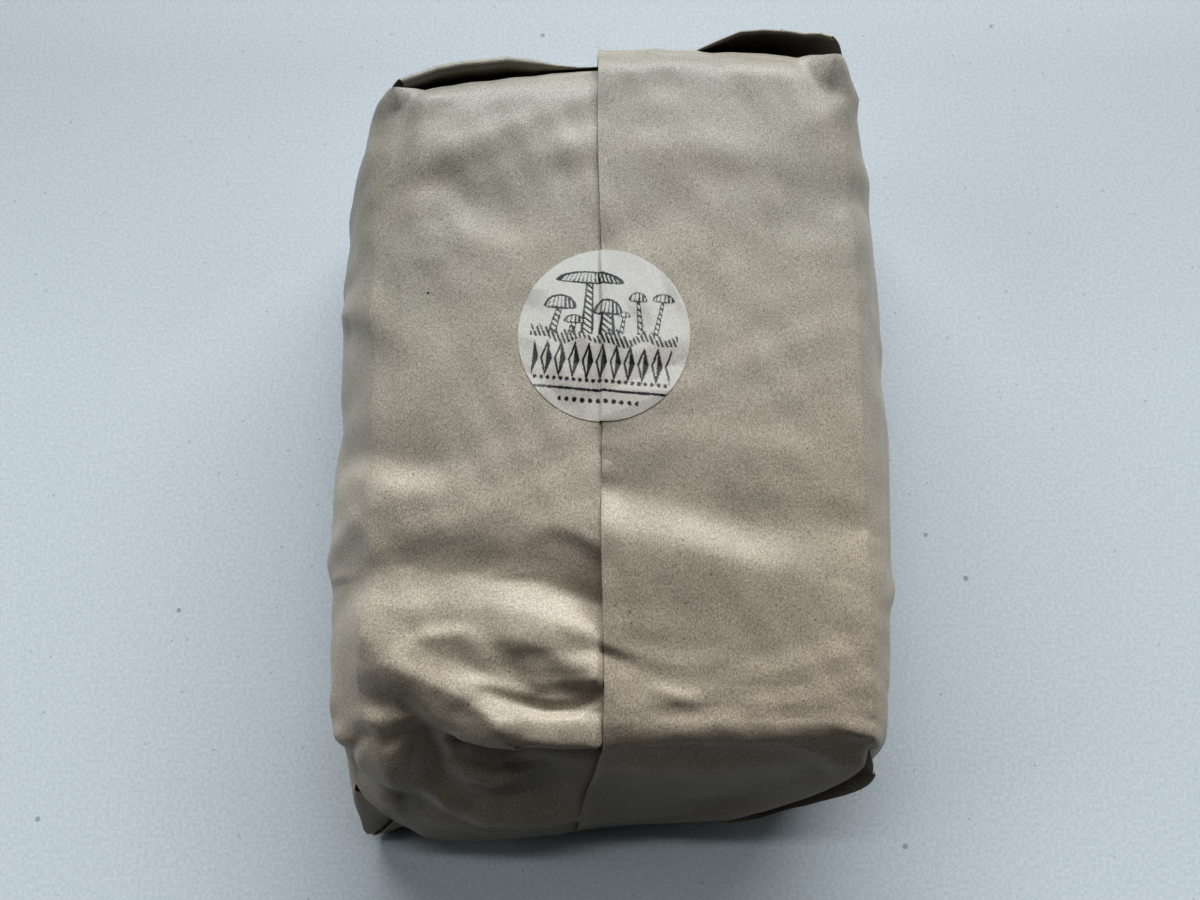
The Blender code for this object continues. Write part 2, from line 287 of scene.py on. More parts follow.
# Folds of the sheet's left side, which runs under the seam: path, height, widths on the left
# and the right of the path, crispness, shares of height at its ends, and spread.
LEFT_FOLDS = [
    # the folded edge, and the smooth far part
    (LEFT_EDGE, 3.0, (9, 9), 0.9, (1, 0.8)),
    ([(-96, 92), (-60, 80), (-32, 66)], -1.7, (9, 8), 0.3, (0.2, 0), 1.5),
    ([(-34, 90), (-8, 93)], -0.8, (5, 6), 0.4, (0, 0.6)),
    # pinches from the left edge
    ([(-130, 46), (-112, 38), (-95, 28), (-72, 8)], 2.6, (7, 5), 0.6, (1, 0), 2.0),
    ([(-124, 38), (-110, 30), (-92, 14)], -1.6, (4, 6), 0.6, (1, 0), 1.8),
    ([(-98, 62), (-84, 58), (-76, 62)], 0.6, (2, 3), 0.7),
    ([(-126, -10), (-104, -14), (-80, -17), (-52, -17)], -3.0, (7, 8), 0.6, (1, 0), 1.7),
    ([(-116, -20), (-92, -28), (-66, -30)], 1.8, (6, 10), 0.4, (0.6, 0.2)),
    # the strong valley and the bulge below it
    ([(-110, -60), (-88, -60), (-62, -61)], -3.2, (11, 20), 0.4, (0.8, 0.5)),
    (VALLEY, -6.0, (13, 8), 0.6, (0.2, 1.0)),
    ([(-40, -45), (-28, -41), (-14, -44), (0, -53)], 1.9, (7, 3.4), 0.7, (0, 1)),
    (BULGE_TOP, 4.6, (14, 8), 0.5, (0.1, 0.5)),
    ([(-90, -96), (-80, -88), (-66, -86), (-56, -92)], 1.7, (3.5, 9), 0.6, (0.2, 0.2)),
    ([(-106, -72), (-92, -75), (-74, -76)], 1.4, (6, 9), 0.5, (0.6, 0.2)),
    ([(-46, -97), (-28, -95), (-6, -94)], -1.5, (6, 4), 0.6, (0, 1)),
    ([(-40, -109), (-24, -109), (-6, -107)], 2.6, (8, 4.0), 0.7, (0, 1)),
    (CREASE, -2.4, (4, 2.0), 0.8, (0, 0.5)),
    ([(-66, -108), (-48, -112), (-34, -118)], 1.3, (3, 5), 0.6),
    (CREST[:5], 4.2, (8, 11), 0.6, (0.5, 0.9)),
    (CREST[3:], 2.4, (9, 5), 0.7, (0.2, 0.5)),
    # the hollow below the crest, its overhanging lip, and the fold at the foot
    (HOLLOW, -3.8, (4, 7), 0.75, (0.1, 0.3), 1.2),
    (LIP, 3.4, (9, 3.5), 1.0, (0, 1)),
    ([(-66, -162), (-46, -170), (-26, -163)], 3.0, (2.5, 7), 0.9),
    ([(-74, -146), (-66, -158), (-64, -174)], 1.6, (3, 2), 0.9),
    ([(-90, -150), (-84, -166), (-76, -182)], 2.4, (6, 5), 0.5),
    (FOOT, 6.2, (8, 5), 0.8, (0.4, 0.6)),
    ([(-98, -186), (-86, -187), (-74, -183)], 1.6, (1.8, 2.6), 0.6),
    ([(-90, -178), (-84, -186), (-86, -196)], 1.2, (2, 2), 0.6),
    # the left wall
    ([(-108, -90), (-110, -118), (-102, -150)], 2.0, (5, 7), 0.6, (0.4, 0.2)),
    ([(-128, -96), (-134, -122), (-126, -142)], 1.3, (4, 5), 0.7),
    ([(-116, 118), (-132, 96), (-160, 88)], 1.6, (7, 5), 0.6),
    ([(-112, 10), (-140, 2), (-176, 12)], -1.8, (8, 8), 0.6),
    ([(-124, 70), (-146, 58), (-172, 62)], 1.2, (5, 8), 0.6),
    ([(-110, -34), (-138, -50), (-170, -62)], 1.9, (8, 6), 0.6),
]

# Folds of the right side, which lies on top at the seam.
RIGHT_FOLDS = [
    # the folded edge, and the far part
    ([(116, 143), (114, 87), (110, 0), (109, -117), (108, -145)], 2.8, (9, 9), 0.9, (1, 1)),
    ([(-6, 62), (15, 70), (42, 82)], -1.6, (7, 8), 0.1, (0.7, 0), 1.5),
    ([(122, 90), (98, 80), (70, 74)], -2.4, (7, 9), 0.25, (1, 0), 1.8),
    ([(124, 132), (108, 120), (84, 108)], 1.6, (3, 4), 0.5, (1, 0), 2.4),
    # small wrinkles from the seam
    ([(-6, -6), (12, -7)], -0.7, (2, 3), 0.5, (1, 0), 2.4),
    ([(-6, -14), (10, -18)], -0.9, (1.8, 3), 0.5, (1, 0), 2.4),
    ([(-6, -25), (16, -28)], -0.9, (1.8, 3), 0.5, (1, 0), 2.4),
    # the valley and the bright band below it, then the near edge
    (RIGHT_VALLEY, -2.9, (14, 8), 0.15, (0.8, 0.5), 1.2),
    ([(-2, -45), (28, -50), (58, -58), (84, -62)], 2.6, (8, 18), 0.15, (0.7, 0.2)),
    ([(-6, -94), (8, -101), (26, -109)], -2.0, (2.0, 5), 0.5, (1, 0), 2.6),
    ([(12, -110), (24, -116), (38, -121)], 1.0, (3, 6), 0.2),
    (NEAR_EDGE, 2.2, (9, 6), 0.4, (1, 0.4)),
    ([(94, -134), (106, -137), (118, -143)], 2.0, (5, 4), 0.8, (0.2, 1)),
    ([(66, -150), (88, -174)], -1.8, (6, 8), 0.2),
    # the right wall
    ([(116, 30), (142, 20), (176, 28)], -1.6, (8, 9), 0.3),
    ([(112, -70), (140, -62), (172, -70)], 1.6, (8, 6), 0.3),
    ([(112, 96), (134, 106), (164, 100)], 1.3, (6, 7), 0.3),
]


def folds(s, t, rows):
    """Sum of the ridges in a table."""
    return sum(ridge(s, t, *row) for row in rows)


def left_relief(s, t):
    """Height of the left side: its folds, soft swellings, a flat far part and the near lip."""
    h = folds(s, t, LEFT_FOLDS)
    h += mound(s, t, (-74, 106), (34, 11), 1.5, 8)
    h += mound(s, t, (-16, 101), (18, 7), 1.0)
    h += mound(s, t, (-46, -165), (14, 8), 2.2)
    h -= 5.2 * smooth((t - 122.0) / 26.0) * np.exp(-(((s + 8.0) / 62.0) ** 2))
    return h + step(s, t, LIP, 1.8, 5.5, 0.5, (7, 13), 0.10)


def right_relief(s, t):
    """Height of the right side: its folds and one soft swelling."""
    return folds(s, t, RIGHT_FOLDS) + mound(s, t, (42, 100), (40, 11), 1.2)


def crumple(points, seed, count, waves, size):
    """Sum of folded waves in random directions, each |saw| wave faded by a slow one.

    size * (1 - 4|frac(k.p) - 1/2|) * sin(q.p), read from brick positions, so that every
    layer of the paper shares it.
    """
    draw = np.random.default_rng(seed)
    total = np.zeros(points.shape[:-1])
    for _ in range(count):
        way = draw.normal(size=3)
        way /= np.linalg.norm(way) * draw.uniform(*waves)
        slow = draw.normal(size=3)
        slow /= np.linalg.norm(slow) * draw.uniform(60.0, 110.0)
        phase, start = draw.uniform(0.0, 1.0), draw.uniform(0.0, 6.28)
        saw = np.mod(points @ way + phase, 1.0)
        saw = 1.0 - 4.0 * np.abs(saw - 0.5)
        total += saw * np.maximum(np.sin(points @ slow * 6.28 + start), 0.0)
    return total * size


def net_places(sharp):
    """Both ways of unrolling a point into the net, over the side wall and over the end, and
    the share of the first.

    Going down a wall adds to s, and going down an end adds to t.  Beside a vertical corner the
    two ways differ, so they are mixed evenly on it: the sheet's height is then one function of
    place, and the grids that meet there join.
    """
    x, y, z = sharp[..., 0], sharp[..., 1], sharp[..., 2]
    side, end = np.where(x < 0.0, LEFT, RIGHT), np.where(y < 0.0, NEAR, FAR)
    down = THICKNESS - z
    from_wall, from_end = HALF_WIDTH - np.abs(x), HALF_LENGTH - np.abs(y)
    on_top = down < TOUCHING
    wall_s = np.where(on_top, x, side * (HALF_WIDTH + down))
    wall_t = np.where(on_top | (from_wall < TOUCHING), y, end * (HALF_LENGTH + from_wall))
    end_s = np.where(on_top | (from_end < TOUCHING), x, side * (HALF_WIDTH + from_end))
    end_t = np.where(on_top, y, end * (HALF_LENGTH + down))
    reach = np.minimum(down, CORNER_MIX) + TOUCHING
    share = 0.5 + 0.5 * (smooth(from_end / reach) - smooth(from_wall / reach))
    return (wall_s, wall_t), (end_s, end_t), share


def relief(sharp, on_left):
    """Height of the sheet over the form: its side's creases plus the crumple they share.

    Where the left side runs under the right one, it is held below it.  Crumple comes in a broad
    and a fine size everywhere, and a finer one only where the paper is gathered.
    """
    by_wall, by_end, share = net_places(sharp)
    total = 0.0
    for (s, t), part in ((by_wall, share), (by_end, 1.0 - share)):
        if on_left:
            left = left_relief(s, t)
            covered = smooth((s - SEAM_S + 3.0) / 5.0)
            height = left * (1.0 - covered) + np.minimum(left, right_relief(s, t)) * covered
        else:
            height = right_relief(s, t)
        total = total + height * part
    total = total + crumple(sharp, 5, 9, (38.0, 90.0), 0.26)
    total = total + crumple(sharp, 11, 8, (13.0, 30.0), 0.16)
    gathered = np.exp(-(((sharp - GATHER_MIDDLE) / GATHER_RADII) ** 2).sum(axis=-1))
    total = total + crumple(sharp, 23, 10, (11.0, 24.0), 0.34) * gathered
    off_floor = smooth((sharp[..., 2] + 2.0) / 14.0)
    return (total + ears(sharp) + blunt_corner(sharp)) * off_floor + floor_ear(sharp)


def ears(sharp):
    """Pinched points at the two far top corners.

    Each is a straight-sided tent, 1 - off/reach, times exp(-(depth/20)^2) down the corner.
    """
    x, y, z = sharp[..., 0], sharp[..., 1], sharp[..., 2]
    off = (HALF_WIDTH - np.abs(x)) + (HALF_LENGTH - y)
    down = THICKNESS - z
    left = 5.2 * np.maximum(1.0 - off / 15.0, 0.0) * np.exp(-((down / 20.0) ** 2)) * (x < 0.0)
    right = 7.5 * np.maximum(1.0 - off / 17.0, 0.0) * np.exp(-(((down - 6.0) / 20.0) ** 2)) * (x > 0.0)
    return left + right


def blunt_corner(sharp):
    """The near left top corner is pushed in by exp(-(w/40)^2), w being the way from it."""
    way = (HALF_WIDTH + sharp[..., 0]) + (HALF_LENGTH + sharp[..., 1]) + 0.8 * (THICKNESS - sharp[..., 2])
    return -2.0 * np.exp(-((way / 40.0) ** 2))


def floor_ear(sharp):
    """Pinched ear down the near left corner: a straight-sided tent that grows to the floor."""
    x, y, z = sharp[..., 0], sharp[..., 1], sharp[..., 2]
    off = (HALF_WIDTH + x) + (HALF_LENGTH + y)
    height = np.clip(1.0 - z / 44.0, 0.0, 1.0) * smooth((z + 6.0) / 10.0)
    return 13.0 * height * np.maximum(1.0 - np.hypot(off, 0.7) / 13.0, 0.0)


# --- the folded sheet ----------------------------------------------------------------------------


def spaced(start, end, knots):
    """Stations from start to end whose spacing is read from (place, spacing) knots."""
    fine = np.linspace(start, end, 2001)
    places, spacings = np.array(sorted(knots), dtype=float).T
    density = 1.0 / np.interp(fine, places, spacings)
    count = np.concatenate([[0.0], np.cumsum((density[1:] + density[:-1]) / 2.0)])
    count *= abs(end - start) / 2000.0
    steps = int(np.ceil(count[-1]))
    return np.interp(np.linspace(0.0, count[-1], steps + 1), count, fine)


# Stations of the grids: down the walls and the ends, along the parcel, and across each side's
# top and the base.  They are closest at the seam, the near end and the edges.
WALL = spaced(THICKNESS, 0.0, [(THICKNESS, 1.1), (66.0, 1.6), (50.0, 2.4), (0.0, 2.9)])
DEPTH = THICKNESS - WALL
ALONG_KNOTS = [(-146, 1.0), (-126, 1.2), (-100, 1.7), (-40, 1.9), (0, 2.7), (130, 2.7), (146, 2.0)]
ALONG = spaced(-HALF_LENGTH, HALF_LENGTH, ALONG_KNOTS)
LEFT_KNOTS = [(37, 6.0), (6, 2.5), (-3, 1.1), (-14, 1.4), (-30, 2.2), (-107, 2.2)]
LEFT_TOP = spaced(UNDER_S, -HALF_WIDTH, LEFT_KNOTS)
RIGHT_TOP = spaced(HALF_WIDTH, SEAM_S, [(107, 2.2), (70, 2.9), (12, 2.6), (3, 1.2), (-5, 0.9)])
BASE = spaced(-HALF_WIDTH, HALF_WIDTH, [(-107, 3.0), (-85, 12.0), (85, 12.0), (107, 3.0)])
BASE_MIDDLE = BASE.size // 2


# Points of joined grids that lie this near, in metres, become one.
MERGE_WITHIN = 2e-6


class Grids:
    """Grids of points that make one surface, joined where their edges meet."""

    def __init__(self):
        self.points = []
        self.faces = []
        self.count = 0

    def add(self, points, flip=False):
        """Take in one grid of points, rows by columns."""
        rows, columns = points.shape[:2]
        first = self.count + np.arange(rows * columns).reshape(rows, columns)
        quads = [first[:-1, :-1], first[:-1, 1:], first[1:, 1:], first[1:, :-1]]
        if flip:
            quads.reverse()
        self.faces.append(np.stack(quads, axis=-1).reshape(-1, 4))
        self.points.append(points.reshape(-1, 3))
        self.count += rows * columns

    def mesh(self, name):
        """One mesh in metres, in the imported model's place, with the joins' doubled points merged."""
        points = (np.concatenate(self.points) + SHIFT) * MM
        data = bpy.data.meshes.new(name)
        data.from_pydata(points.tolist(), [], np.concatenate(self.faces).tolist())
        shape = bmesh.new()
        shape.from_mesh(data)
        bmesh.ops.remove_doubles(shape, verts=shape.verts, dist=MERGE_WITHIN)
        shape.to_mesh(data)
        shape.free()
        return data


def seam_place(t):
    """Where the upper side's edge lies: nearly straight, leaning left on the near end."""
    on_end = np.clip((-HALF_LENGTH - t) / THICKNESS, 0.0, 1.0)
    return SEAM_S - 2.0 * smooth(t / HALF_LENGTH) + 0.6 * np.sin(t / 23.0) - 14.0 * on_end


def over_lift(s):
    """The upper side climbs on to the lower one before the overlap begins."""
    return LAYER * smooth((UNDER_S + 34.0 - s) / 34.0)


def seam_curl(s, t):
    """The upper side's edge stands up a little, most near the far end and at one crease.

    It lies down again where it turns over the far end, and falls off as exp(-distance/reach)
    with the distance from the edge.
    """
    away = np.maximum(s - seam_place(t), 0.0)
    height = 0.8 + 1.4 * smooth((t - 96.0) / 50.0) + 0.5 * np.exp(-(((t + 52.0) / 16.0) ** 2))
    height = height * (1.0 - 0.9 * smooth((t - 148.0) / 8.0))
    height = height + 0.8 * smooth((-146.0 - t) / 12.0)
    return height * np.exp(-away / (3.0 + 9.0 * smooth((t - 90.0) / 50.0)))


def left_tube():
    """Left side of the sheet: from under the seam, round the left wall, to the base's middle."""
    t = ALONG[:, None]
    sharp = np.concatenate([
        ordered(LEFT_TOP, t, THICKNESS),
        ordered(-HALF_WIDTH, t, WALL[1:]),
        ordered(BASE[1 : BASE_MIDDLE + 1], t, 0.0),
    ], axis=1)
    return skin(sharp, relief(sharp, True))


def right_tube():
    """Right side: from the base's middle, up the right wall, to the seam's visible edge."""
    t = ALONG[:, None]
    share = (HALF_WIDTH - RIGHT_TOP[1:]) / (HALF_WIDTH - SEAM_S)
    cross = HALF_WIDTH - share * (HALF_WIDTH - seam_place(t))
    sharp = np.concatenate([
        ordered(BASE[BASE_MIDDLE:], t, 0.0),
        ordered(HALF_WIDTH, t, WALL[-2::-1]),
        ordered(cross, t, THICKNESS),
    ], axis=1)
    lift = relief(sharp, False)
    lift[:, -cross.shape[1] :] += over_lift(cross) + seam_curl(cross, t)
    return skin(sharp, lift)


def inward(knots, depth):
    """How far in from the corner a flap's free edge runs, at each depth down the end."""
    places, values = np.array(knots, dtype=float).T
    return np.interp(depth, places, values)


def pleat(depths):
    """The folded block along the near right flap's slanted edge: a zigzag of layers across it.

    Each row of PLEAT is a point of the zigzag: how far out across the edge, in the plane of the
    end, and how far down through the layers.  It grows from nothing at the first depth.
    """
    d = depths[:, None]
    edge = HALF_WIDTH - inward(NEAR_RIGHT, d)
    slope = inward(NEAR_RIGHT, d + 0.5) - inward(NEAR_RIGHT, d - 0.5)
    run = np.hypot(1.0, slope)
    out, drop = np.array(PLEAT, dtype=float).T
    grow = smooth((d - depths[0]) / 14.0)
    down = d + out * grow * slope / run
    height = THICKNESS - np.minimum(down, THICKNESS - 0.5)
    sharp = ordered(edge + out * grow / run, -HALF_LENGTH, height)
    level = near_right_level(d, np.zeros_like(d)) - drop * grow
    return skin(sharp, relief(sharp, False) + level)


def near_left_level(d, u):
    """Stand-off of the near end's left flap, by depth and distance from its free edge."""
    over = np.maximum(d - 47.0, 0.0)
    level = 2.0 * smooth(d / 18.0) * smooth((u + over) / 9.0)
    return level + 4.5 * smooth((d - 50.0) / 22.0) * np.exp(-((u / 50.0) ** 2))


def near_right_level(d, u):
    """Stand-off of the near end's right flap: most along its slanted free edge."""
    over = np.maximum(d - 7.0, 0.0)
    level = 2.6 * smooth(d / 16.0) * smooth((u + over) / 8.0)
    low = 1.0 - 0.8 * smooth((d - 54.0) / 20.0)
    return level * low + 4.6 * low * smooth((d - 8.0) / 18.0) * np.exp(-((u / 14.0) ** 2))


def far_level(d, u):
    """Stand-off of the far end's top flaps, the same on both sides."""
    over = np.maximum(d - 5.0, 0.0)
    return 0.9 * smooth(d / 12.0) * smooth((u + over) / 8.0)


# Free edges of the top flaps, as (depth down the end, way in from the corner), where the side
# flaps leave the corner, how far these run under, and how far down each top flap reaches.
NEAR_LEFT = [(0, 0), (48, 0), (54, 18), (62, 24), (70, 33), (82, 48)]
NEAR_RIGHT = [(0, 0), (6, 0), (18, 15), (34, 28), (46, 40), (56, 54), (63, 69), (71, 88), (82, 97)]
FAR_TOP = [(0, 0), (6, 0), (82, 60)]
SIDE_FLAPS = [
    (NEAR, LEFT, NEAR_LEFT, 48.0, 18.0),
    (NEAR, RIGHT, NEAR_RIGHT, 6.0, 18.0),
    (FAR, LEFT, FAR_TOP, 6.0, 24.0),
    (FAR, RIGHT, FAR_TOP, 6.0, 24.0),
]
NEAR_REACH = 71.0, 76.0
FAR_REACH = 60.0, 60.0

# The zigzag of layers at the near right flap's edge: (out across the edge, down through them).
PLEAT = [
    (0.0, 0.0), (0.5, 0.2), (0.5, 0.6), (-0.5, 1.0), (-4.0, 2.4), (-4.6, 5.8), (3.0, 7.2), (11.0, 7.0),
    (13.0, 4.6), (14.0, 1.0), (14.5, 0.6), (14.9, 1.0), (14.9, 4.6), (12.0, 7.4), (0.0, 7.7), (-16.0, 7.9),
]
PLEAT_TOP, PLEAT_FOOT = 6.0, 68.0

# The curled rim of a flap that stands off: (rise above its free edge, fall back to the end).
RIM = np.array([(1.3, 0.3), (2.1, 1.1), (2.3, 2.2), (1.6, 3.2), (0.0, 3.8), (-7.0, 4.0)])
RIM_RIGHT_SHARE = 0.22


def end_top_flaps(end, grids):
    """Top flaps of one end: the left side's, then the right side's over it.

    Every row runs from the hidden or the visible edge at the seam to the slanted free edge,
    with the top's own stations scaled to that width, so that it joins the top.
    """
    left_knots, right_knots = (NEAR_LEFT, NEAR_RIGHT) if end < 0 else (FAR_TOP, FAR_TOP)
    left_reach, right_reach = NEAR_REACH if end < 0 else FAR_REACH
    left_level = near_left_level if end < 0 else far_level
    right_level = near_right_level if end < 0 else far_level

    d = DEPTH[DEPTH <= left_reach][:, None]
    edge = -(HALF_WIDTH - inward(left_knots, d))
    x = UNDER_S + (UNDER_S - LEFT_TOP) / (UNDER_S + HALF_WIDTH) * (edge - UNDER_S)
    sharp = ordered(x, end * HALF_LENGTH, THICKNESS - d)
    grids.add(skin(sharp, relief(sharp, True) + left_level(d, x - edge)), flip=end > 0)

    d = DEPTH[DEPTH <= right_reach][:, None]
    edge = HALF_WIDTH - inward(right_knots, d)
    t = end * (HALF_LENGTH + d)
    share = (HALF_WIDTH - RIGHT_TOP) / (HALF_WIDTH - SEAM_S)
    x = edge - share * (edge - seam_place(t))
    sharp = ordered(x, end * HALF_LENGTH, THICKNESS - d)
    lift = relief(sharp, False) + over_lift(x) + seam_curl(x, t) + right_level(d, edge - x)
    grids.add(skin(sharp, lift), flip=end < 0)


def side_flap(end, side, knots, weld, under):
    """A side wall's flap: folded on to the end, and under the top flap's slanted edge.

    Each row runs straight in from the corner, from the depth of the weld down.
    """
    d = DEPTH[DEPTH >= weld][:, None]
    across = np.linspace(0.0, 1.0, 16)
    width = inward(knots, d) + under
    sharp = ordered(side * (HALF_WIDTH - across * width), end * HALF_LENGTH, THICKNESS - d)
    level = -0.5 * smooth(across * width / 6.0)
    return skin(sharp, relief(sharp, side < 0.0) + level)


def bottom_flap(end, top, slope, level, stand):
    """The base's flap, folded up the end: a trapezoid whose free edge is at the height `top`.

    It narrows by the slope as it rises.  Where stand(x, z) holds it off the end, its free edge
    goes on into the curled rim, less on the right than on the left.
    """
    z = np.linspace(0.0, top, int(top / 2.0))[:, None]
    trim = np.maximum(z - 5.0, 0.0) * slope
    x = BASE[None, :] * (HALF_WIDTH - trim) / HALF_WIDTH
    sharp = ordered(x, end * HALF_LENGTH, z)
    lift = relief(sharp, True) + level * smooth(z / 12.0) + stand(x, z)
    rim_share = np.where(x[-1] < 0.0, 1.0, RIM_RIGHT_SHARE)
    curl = np.clip(stand(x[-1], top) / 4.0, 0.0, 1.0) * rim_share
    rim = ordered(x[-1], end * HALF_LENGTH, top + RIM[:, :1] * curl)
    sharp = np.concatenate([sharp, rim])
    return skin(sharp, np.concatenate([lift, lift[-1] - RIM[:, 1:] * curl]))


def near_stand(x, z):
    """The near end's bottom flap lies flat on the end."""
    return np.zeros_like(x)


def far_stand(x, z):
    """How far the far end's outer flap stands off: lifted lips left and right of the middle."""
    left = 6.5 * np.exp(-(((x + 66.0) / 36.0) ** 4))
    right = 8.5 * np.exp(-(((x - 76.0) / 33.0) ** 4))
    return (left + right) * smooth((z - 30.0) / 44.0)


def filling(name, inset):
    """A closed filled shape that follows the paper from inside, set in below all its layers.

    It is a loop round the brick and its two ends, lifted by the lower of the two sides'
    reliefs less the inset, and less 5 mm more at the far end, where the lips stand off.
    """
    x = spaced(-HALF_WIDTH, HALF_WIDTH, [(-107, 3.0), (0, 5.0), (107, 3.0)])
    t = spaced(-HALF_LENGTH, HALF_LENGTH, [(-146, 3.0), (0, 5.0), (146, 3.0)])
    z = spaced(0.0, THICKNESS, [(0, 3.0), (THICKNESS, 3.5)])
    loop = [
        ordered(x, t[:, None], THICKNESS),
        ordered(HALF_WIDTH, t[:, None], z[-2::-1]),
        ordered(x[-2::-1], t[:, None], 0.0),
        ordered(-HALF_WIDTH, t[:, None], z[1:]),
    ]
    grids = Grids()
    for sharp, flip in (
        (np.concatenate(loop, axis=1), False),
        (ordered(x, -HALF_LENGTH, z[:, None]), True),
        (ordered(x, HALF_LENGTH, z[:, None]), False),
    ):
        lowest = np.minimum(relief(sharp, True), relief(sharp, False))
        far_gap = 5.0 * smooth((sharp[..., 1] - 128.0) / 18.0)
        grids.add(skin(sharp, lowest - inset - far_gap), flip=flip)
    piece = bpy.data.objects.new(name, grids.mesh(name))
    bpy.context.scene.collection.objects.link(piece)
    piece.data.shade_smooth()
    return piece


def paper_surface():
    """The whole sheet as one thin surface: two sides, four flaps at each end, and the pleat."""
    grids = Grids()
    grids.add(left_tube(), flip=True)
    grids.add(right_tube(), flip=True)
    for end in (NEAR, FAR):
        end_top_flaps(end, grids)
    for end, side, knots, weld, under in SIDE_FLAPS:
        grids.add(side_flap(end, side, knots, weld, under), flip=end * side > 0.0)
    grids.add(bottom_flap(NEAR, 44.0, 1.0, 0.9, near_stand), flip=True)
    grids.add(bottom_flap(FAR, 74.0, 0.12, 1.9, far_stand))
    grids.add(pleat(DEPTH[(DEPTH >= PLEAT_TOP) & (DEPTH <= PLEAT_FOOT)]), flip=True)
    return grids.mesh("paper_sheet")


def thickened(name, data, thickness):
    """A closed mesh from a thin surface: its back wall is set in by the thickness."""
    piece = bpy.data.objects.new(name, data)
    bpy.context.scene.collection.objects.link(piece)
    solid = piece.modifiers.new("thickness", "SOLIDIFY")
    solid.thickness = thickness * MM
    solid.offset = -1.0
    solid.use_even_offset = False
    ready = piece.evaluated_get(bpy.context.evaluated_depsgraph_get())
    closed = bpy.data.meshes.new_from_object(ready)
    piece.modifiers.clear()
    piece.data = closed
    closed.shade_smooth()
    closed.set_sharp_from_angle(angle=np.radians(CREASE_ANGLE))
    return piece


# --- round label --------------------------------------------------------------------------------

# The label in the net, wider across than along because the bag's top is squeezed across.
LABEL_MIDDLE = (-4.4, 29.0)
LABEL_RADII = (38.6, 31.5)
LABEL_TURN = -5.0
LABEL_FILM = 0.08
LABEL_GAP = 0.04
LABEL_RINGS, LABEL_SPOKES = 97, 385


def over_seam(s, t):
    """The paper's top as a film laid over it meets it: brick points, and their heights.

    The height goes from the lower side's to the upper side's just before the seam's edge.
    """
    sharp = ordered(s, t, THICKNESS)
    low = relief(sharp, True)
    high = relief(sharp, False) + over_lift(s) + seam_curl(s, t)
    climb = smooth((s - seam_place(t) + 1.8) / 1.7)
    return sharp, low * (1.0 - climb) + high * climb


def dome(u, v, middle, half, rise, brim=0.18):
    """Inside of a fan cap: a half ellipse above its brim and a flat one below it."""
    x, y = (u - middle[0]) / half, v - middle[1]
    return x**2 + np.where(y > 0.0, (y / rise) ** 2, (y / (brim * rise)) ** 2)


def stalk(u, v, foot, head, widths):
    """Distance from a stalk's middle line over its half width, which goes from foot to head."""
    place = np.clip((v - foot[1]) / (head[1] - foot[1]), 0.0, 1.0)
    middle = foot[0] + (head[0] - foot[0]) * place**1.3
    half = widths[0] + (widths[1] - widths[0]) * smooth(place)
    inside = np.abs(u - middle) / half
    return np.where((v >= foot[1]) & (v <= head[1]), inside, 9.0), place


# The emblem's mushrooms in the label's unit circle: a stalk's foot, head and half widths at
# both, then its cap's middle, half width and rise.
MUSHROOMS = [
    ((-0.20, -0.02), (-0.22, 0.60), (0.075, 0.045), (-0.22, 0.60), 0.40, 0.13),
    ((-0.60, -0.04), (-0.54, 0.30), (0.05, 0.035), (-0.54, 0.28), 0.19, 0.15),
    ((0.03, -0.02), (0.02, 0.26), (0.10, 0.07), (0.02, 0.24), 0.17, 0.16),
    ((0.42, 0.02), (0.36, 0.42), (0.035, 0.022), (0.36, 0.41), 0.11, 0.10),
    ((0.60, 0.00), (0.66, 0.44), (0.03, 0.02), (0.66, 0.43), 0.13, 0.09),
    ((0.20, 0.00), (0.22, 0.22), (0.028, 0.02), (0.22, 0.21), 0.07, 0.06),
    ((-0.38, -0.05), (-0.36, 0.12), (0.045, 0.03), (-0.36, 0.11), 0.12, 0.09),
]
LOZENGE_PITCH = 0.16
BAND_REACH = 0.80


def dots_row(u, v, pitch, height, radius, reach):
    """True inside a row of round dots: hypot(way from the nearest dot, v - height) < radius."""
    x = np.mod(u / pitch + 0.5, 1.0) - 0.5
    return (np.hypot(x * pitch, v - height) < radius) & (np.abs(u) < reach)


